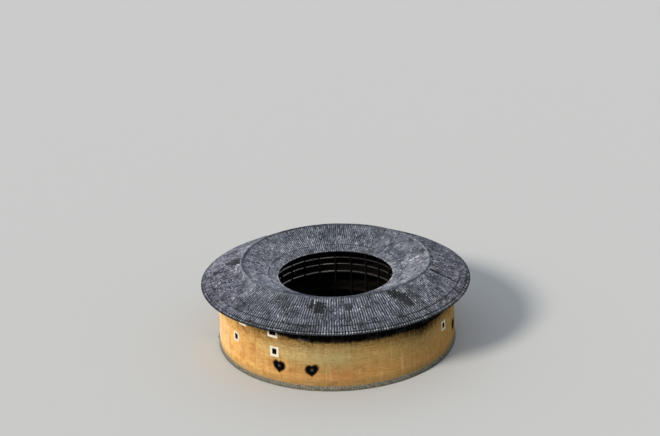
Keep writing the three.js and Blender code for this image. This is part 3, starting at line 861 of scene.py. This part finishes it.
# Mended, wet and lime-splashed places, as strips up the slope. Each has a radius, an azimuth and a half
# width in metres at its lower and its upper end, and the tone of its tiles.
OUTER_MARKS = [
    (14, 261.5, 0.6, 15.8, 261.5, 0.64, 0.1), (13.6, 256.8, 0.16, 15, 256.8, 0.16, 0.06),
    (14.3, 275.9, 0.42, 15.5, 275.9, 0.52, 0.27), (13.4, 301, 0.5, 14.6, 305.2, 1, 0.12),
    (14.6, 305.2, 1, 16.6, 307.5, 0.45, 0.16), (13.4, 177.5, 1.15, 14.6, 175, 1.3, 0.15),
    (14.6, 175, 1.3, 15.7, 173.5, 0.35, 0.2), (16, 182.5, 0.3, 17.4, 179.5, 0.6, 0.22),
    (13.6, 186, 0.12, 15.8, 183, 0.12, 0.04), (13.7, 342.6, 0.27, 17.8, 342, 0.24, 0),
    (13.8, 356.4, 0.16, 15, 358.8, 0.14, 0.04), (13.9, 353.2, 0.14, 14.6, 352.8, 0.12, 0.04),
    (15.4, 367, 0.12, 16.6, 365.5, 0.12, 0.06), (14.2, 102, 0.7, 15.8, 103, 0.6, 0.18),
    (16.2, 48, 0.5, 17.6, 48, 0.55, 0.25), (13.9, 132, 0.45, 15.4, 131, 0.55, 0.2)]
INNER_MARKS = [
    (10.7, 365.9, 0.26, 11.9, 366.5, 0.22, 1), (11.9, 366.6, 0.13, 13, 367.4, 0.08, 0.95),
    (9.4, 376.5, 0.1, 10.3, 373.8, 0.07, 0.86), (11, 172, 0.12, 12.8, 176, 0.12, 0.1),
    (10.4, 174, 0.1, 11.6, 171, 0.1, 0.14), (9.2, 301, 0.3, 10.8, 300, 0.25, 0.2),
    (9.8, 230, 0.25, 11.2, 231, 0.35, 0.2)]
# Each band is the radius at its foot, the radius at its head, and its rows right round the house.
OUTER_BANDS = [(19.08, 16.85, 328), (16.85, 15.05, 296), (15.05, 13.36, 264)]
INNER_BANDS = [(8.16, 9.55, 184), (9.55, 11.35, 216), (11.35, 13.24, 256)]
# The last course at the outer eave and the one above it, the last at the inner eave, and a stained one.
LAST_OUTER, NEXT_OUTER, LAST_INNER, STAINED_INNER = 18.87, 18.66, 8.36, 9.4

clay, tree, spot = blank("grey_clay_tile_fired_weathered")
# Reduction-fired clay: blue-grey body, soot and lichen blotches; the tone attribute paints covers pale and
# troughs dark, partly dust and soot, partly painted light and shade.
body = put(tree, "ValToRGB", put(tree, "Attribute", out="Fac", attribute_name="tone"), stops=[
    (0, "#08090b"), (0.25, "#24272c"), (0.5, "#595d65"), (0.75, "#888c95"), (1, "#c3c6c8")])
to_right = put(tree, "SeparateXYZ", spot)
body = stain(
    body, (grain(spot, 2600, detail=5, rough=0.6), 0.47, 0.66, 0, 0.8, "#9aa3a6", "MULTIPLY"),
    (grain(spot, 1700, detail=4, rough=0.6), 0.5, 0.68, 0, 0.9, "#a49aa6", "MULTIPLY"),
    # Both ends of the ring, right and left, are tinted a little darker and more violet.
    (to_right, 9, 16, 0, 0.6, "#ece0e7", "MULTIPLY"),
    (to_right, -15, -8, 0.8, 0, "#fbf2fd", "MULTIPLY"),
    (grain(spot, 240, detail=5, rough=0.65), 0.5, 0.72, 0, 0.22, "#8b8e92"),
    (grain(spot, 620), 0.56, 0.72, 0, 0.4, "#26282c"))
fine = grain(spot, 30, detail=4, rough=0.6)
close(body, fine, 0.62, 0.85, fine, 0.003, 0.35)


def away_from_front(az):
    """0 within 40 degrees of the front, 1 beyond 80."""
    return fade_in(np.abs(turned_from(FRONT, az)), 40, 80)


def marked(tone, az, r, marks, rng):
    """Sets the tone of the tiles that lie in a mark, with a ragged edge."""
    for r0, az0, half0, r1, az1, half1, shade in marks:
        along = (r - r0) / (r1 - r0)
        across = np.radians(turned_from(az0 + (az1 - az0) * along, az)) * r
        edge = (half0 + (half1 - half0) * along) * rng.uniform(0.82, 1.18, r.shape)
        inside = (along + rng.uniform(-0.06, 0.06, r.shape) > 0) & (along < 1) & (np.abs(across) < edge)
        tone = np.where(inside, shade + 0.4 * (tone - 0.45), tone)
    return tone


def outer_tone(az, r, course, is_cover, filled, ridge_light):
    """What painted light and shade, rain and drip add to the tone of the outer slope."""
    tone = 0.648 - 0.03 * away_from_front(az) - 0.12 * filled if is_cover else 0.05 + 0.34 * filled
    tone = tone + 0.09 * ridge_light * fade_in(r, 15.6, 14.4) + 0.07 * fade_in(r, 14.8, 13.8)
    tone = tone - 0.04 * patch(az, 301, 12)
    front = np.clip(0.25 + np.cos(np.radians(az - FRONT)), 0.25, 1)
    # Painted shadow: the course just below each doubled step is darkened, most at the front, partly damp and
    # soot, partly the step's shade.
    for lap in DOUBLED:
        in_lap = (r > lap) & (r < lap + course)
        tone = tone - 0.50 * front * in_lap * np.clip(0.75 + 0.9 * swell(az, r, 2.3, 33), 0, 1)
    # The last course is black with drip and soot, and the one above it is washed pale at the front.
    pale = 0.02 + 0.20 * fade_in(np.cos(np.radians(az - 272)), 0.78, 0.92)
    return tone + np.where(r > LAST_OUTER, -0.42, pale * ((r > NEXT_OUTER) & is_cover))


def inner_tone(az, r, is_cover, filled, ridge_light):
    """What painted light and shade, damp and drip add to the tone of the inner slope."""
    tone = 0.64 if is_cover else 0.36 + 0.1 * filled
    tone = tone + 0.15 * ridge_light + 0.035 * np.abs(np.cos(np.radians(az)))
    tone = tone - 0.045 * patch(az, 158, 20) - 0.11 * patch(az, 320, 28) * fade_in(r, 11.6, 12.6)
    # The part at the front that faces away from the sun is painted dark, as shade.
    tone = tone - 0.3 * fade_in(np.cos(np.radians(az - FRONT)), 0.72, 0.92)
    return tone - 0.2 * (np.abs(r - STAINED_INNER) < 0.09) + 0.14 * ((r < LAST_INNER) & is_cover)


def lapped(profile, order):
    """Quads of one lapped tile: three rings of its profile, the lip's foot and top and the head."""
    n = len(profile)
    return [(ring * n + k, ring * n + k + 1, ring * n + n + k + 1, ring * n + n + k)[::order]
            for ring in (0, 1) for k in range(n - 1)]


def tile_slope(name, node, low, bands, marks, seed):
    """Lays an eighth of a slope from the azimuth low, band by band from the eave up."""
    rng = np.random.default_rng(seed)
    verts, faces, tones = [], [], []
    total = 0
    outward = 1 if bands[0][0] > bands[0][1] else -1
    for lower, upper, rows in bands:
        courses = round(abs(upper - lower) / math.cos(math.radians(SLOPE)) / COURSE)
        pitch = 360 / rows
        edges = np.linspace(lower, upper, courses + 1)
        step = edges[1] - edges[0]
        index = np.arange(math.ceil(low / pitch - 1e-6), math.ceil((low + 45) / pitch - 1e-6))
        row_az = (index + 0.5) * pitch + rng.uniform(-0.05, 0.05, len(index)) * pitch
        az, r = np.meshgrid(row_az, (edges[:-1] + edges[1:]) / 2, indexing="ij")
        shape = az.shape
        # The old roof sags and swells.
        level = 0.032 * swell(az, r, 3.1, 40) + 0.012 * swell(az, r, 1.0, 47)
        lip_more = np.zeros(shape)
        if outward > 0:
            for lap in DOUBLED:
                level = level + LAP_RISE * fade_in(r, lap - LAP_RUN, lap) * (r < lap)
                lip_more = lip_more + LAP_RISE * ((r < lap) & (r > lap - abs(step)))
        wander = 0.10 * pitch * swell(az, r, 1.6, 60 + seed)
        half = np.radians(pitch) * r / 2
        patchy = 0.10 * swell(az, r, 1.1, 80)
        # Beside the ridge at the left front the tiles are painted paler, as light, and on the outer slope
        # only near the ridge.
        ridge_light = patch(az, 209, 18)
        filled = np.clip(0.16 + 2.2 * swell(az, r, 1.25, 120), 0, 1)
        filled = filled * (1 - 0.4 * away_from_front(az)) * (1 - 0.7 * patch(az, 237, 12))
        for profile, lip, head, is_cover in ((TROUGH, 0.012, 0.02, False), (COVER, 0.026, 0.034, True)):
            centre = az + wander + (0 if is_cover else pitch / 2) + rng.normal(0, 0.03, shape) * pitch
            yaw = rng.normal(0, 0.025, shape)
            raise_by = level + rng.normal(0, 0.006, shape)
            rings = []
            # The down-slope lip's foot and top, and the head tucked under the next course.
            for along, drop in ((-0.5, lip + lip_more), (-0.5, 0.0), (0.62, head)):
                ring_r = r + along * step
                for across, rise in profile:
                    s = across * half * (1 - 0.06 * (along > 0)) + yaw * along * step
                    z = roof_top(ring_r) + rise + raise_by - drop
                    rings.append(around(centre + np.degrees(s / ring_r), ring_r, z))
            # Covers are painted pale and troughs dark, partly soot and damp, partly painted shade between the
            # covers, and in places dust has filled the troughs.
            spread = 0.065 + 0.045 * away_from_front(az) if outward > 0 else 0.078
            tone = rng.normal(0, 1, shape) * spread + patchy
            run = np.cumsum(rng.normal(0, 0.06, shape), 1)
            tone = tone + np.clip(run - run.mean(1, keepdims=True), -0.14, 0.14)
            if outward > 0:
                tone = tone + outer_tone(az, r, abs(step), is_cover, filled, ridge_light)
            else:
                tone = tone + inner_tone(az, r, is_cover, filled, ridge_light)
            tone = tone + (rng.random(shape) < 0.014) * 0.2 - (rng.random(shape) < 0.03) * 0.3
            tone = marked(tone, az, r, marks, rng).ravel()
            # A few covers have slipped and left their trough bare.
            keep = rng.random(len(tone)) > (0.010 if is_cover else 0.0)
            tiles = np.stack(rings, 2).reshape(-1, len(rings), 3)[keep]
            quads = lapped(profile, outward)
            faces.append(copies(quads, len(tiles), len(rings)) + total)
            verts.append(tiles.reshape(-1, 3))
            tones.append(np.repeat(np.clip(tone[keep], 0, 1), len(quads)))
            total += len(tiles) * len(rings)
    piece(name, np.concatenate(verts), np.concatenate(faces), clay, "roof_tile", [node], 50,
          tone=np.concatenate(tones))


for k in range(8):
    tile_slope(f"outer_tiles_{k + 1}", f"roof_outer_{k + 1}", k * 45, OUTER_BANDS, OUTER_MARKS, 100 + k)
    tile_slope(f"inner_tiles_{k + 1}", f"roof_inner_{k + 1}", k * 45, INNER_BANDS, INNER_MARKS, 200 + k)

# Boards under the tiles close the slope from below.
board_az = np.arange(0, 360, 1.25)
board_top, board_under = 0.14, 0.165
rows = [around(board_az, r, roof_top(r) - drop) for r, drop in (
    (8.18, board_top), (RIDGE_R, board_top), (19.03, board_top),
    (19.03, board_under), (RIDGE_R, board_under), (8.18, board_under))]
faces = hoops(len(rows), len(board_az), closed=True)[:, ::-1]
piece("roof_boards", rows, faces, fir, "timber", round_to=40)

# Ridge
# A bed of lime mortar runs along the top of the ring, paler than the slopes, with half-round tiles
# bedded in it and each lapped under the next.
BED = [(-0.15, -0.08), (-0.13, 0.0), (-0.10, 0.055), (-0.05, 0.085), (0.0, 0.09), (0.05, 0.085),
       (0.10, 0.055), (0.13, 0.0), (0.15, -0.08)]
CAP = [(-0.10, 0.05), (-0.068, 0.105), (0.0, 0.132), (0.068, 0.105), (0.10, 0.05)]
CAPS = 360
# How thick the grime lies, by degrees round from the front.
GRIME = [(-180, 1.0), (-150, 0.95), (-125, 0.6), (-90, 0.3), (-70, 0.45), (-45, 0.8), (-10, 0.9),
         (25, 0.95), (50, 0.7), (75, 0.0), (95, 0.15), (120, 0.6), (145, 0.9), (180, 1.0)]

ridge_lime, tree, spot = blank("ridge_lime_mortar_weathered")
# Old lime over tile: grey-white, chalky, blackened by lichen in patches.
lichen = grain(spot, 520, detail=5, rough=0.65)
body = put(tree, "ValToRGB", lichen, stops=[(0.3, "#47484c"), (0.5, "#7f8187"), (0.72, "#b0b1b4")])
grimy = put(tree, "ValToRGB", lichen, stops=[(0.35, "#26282e"), (0.6, "#4b4f58")])
grime = put(tree, "Attribute", out="Fac", attribute_name="grime")
body = put(tree, "Mix", grime, body, grimy, data_type="RGBA")
fine = grain(spot, 60)
close(body, fine, 0.8, 0.95, fine, 0.01, 0.2)


def ridge_top(az):
    """The ridge's height, with the slow rise and fall of an old roof."""
    return RIDGE_Z + 0.03 * swell(az, 0.0, 3.0, 95)


def ridge_grime(az):
    """Soot and moss cover the lime at the front and the back, thin at the sides."""
    return np.interp(turned_from(FRONT, az), *zip(*GRIME))


bed_az = np.arange(0, 360, 0.5)
rows = []
for s, z in BED:
    wave = 0.02 * swell(bed_az, s * 4, 1.1, 90) + 0.012 * swell(bed_az, s * 9, 0.3, 93)
    lumpy = 0.01 * swell(bed_az, s * 9, 0.4, 97)
    rows.append(around(bed_az, RIDGE_R + s + wave, z + ridge_top(bed_az) + lumpy))
piece("ridge_mortar", rows, hoops(len(rows), len(bed_az)), ridge_lime, "ridge_lime", ["roof_ridge"], 180,
      grime=np.tile(ridge_grime(bed_az), len(rows)))

rng = np.random.default_rng(53)
middle = np.arange(CAPS) * 360 / CAPS + rng.normal(0, 0.08, CAPS)
lean = rng.normal(0, 0.012, CAPS)
rings = []
for along, drop in ((-0.5, 0.026), (-0.5, 0.0), (0.62, 0.02)):
    az = middle + along * 360 / CAPS
    top = ridge_top(az) - drop
    rings += [around(az, RIDGE_R + across + lean * (1 + along), rise + top) for across, rise in CAP]
grime = np.clip(ridge_grime(middle) + rng.normal(0, 0.12, CAPS), 0, 1)
piece("ridge_tiles", np.stack(rings, 1), copies(lapped(CAP, -1), CAPS, len(rings)), ridge_lime, "ridge_lime",
      ["roof_ridge"], 50, grime=np.repeat(grime, len(rings)))

# Stage
# A plain pale floor, a soft sun from the left front and an even sky, and the camera where the
# photograph was taken from.
FLOOR_HALF = 3000
SUN_AZ, SUN_UP = FRONT - 50, 32
SENSOR = 36
# The photograph's width and the lens's focal length, in its pixels.
PHOTO_WIDE, FOCAL = 660, 1200
floor_paint = bpy.data.materials.new("plain_pale_floor")
floor_paint.use_nodes = True
paint = floor_paint.node_tree.nodes["Principled BSDF"].inputs
paint["Base Color"].default_value = rgb("#bcbbb7")
paint["Roughness"].default_value = 0.9
mesh = bpy.data.meshes.new("floor")
corners = [(x * FLOOR_HALF, y * FLOOR_HALF, -0.004) for x, y in ((-1, -1), (1, -1), (1, 1), (-1, 1))]
mesh.from_pydata(corners, [], [(0, 1, 2, 3)])
mesh.materials.append(floor_paint)
floor = show("floor", mesh)

sun = bpy.data.lights.new("soft_sun", "SUN")
sun.energy = 3.7
sun.angle = math.radians(14)
sun.color = (1.0, 0.95, 0.88)
lamp = show("soft_sun", sun)
lamp.rotation_euler = (math.radians(90 - SUN_UP), 0, math.radians(SUN_AZ + 90))

world = bpy.data.worlds.new("even_sky")
world.use_nodes = True
sky = world.node_tree.nodes["Background"]
sky.inputs["Color"].default_value = (0.80, 0.88, 1.0, 1)
sky.inputs["Strength"].default_value = 0.66
bpy.context.scene.world = world
bpy.context.scene.view_settings.view_transform = "Standard"

lens = bpy.data.cameras.new("camera")
lens.sensor_width = SENSOR
lens.lens = FOCAL / PHOTO_WIDE * SENSOR
lens.clip_end = 5000
camera = show("camera", lens)
pitch, yaw, roll = map(math.radians, (20.95, -0.18, 1.96))
camera.matrix_world = (Matrix.Translation((0, -156.7, 78.0)) @ Matrix.Rotation(-yaw, 4, "Z")
                       @ Matrix.Rotation(math.pi / 2 - pitch, 4, "X") @ Matrix.Rotation(-roll, 4, "Z"))
bpy.context.scene.camera = camera
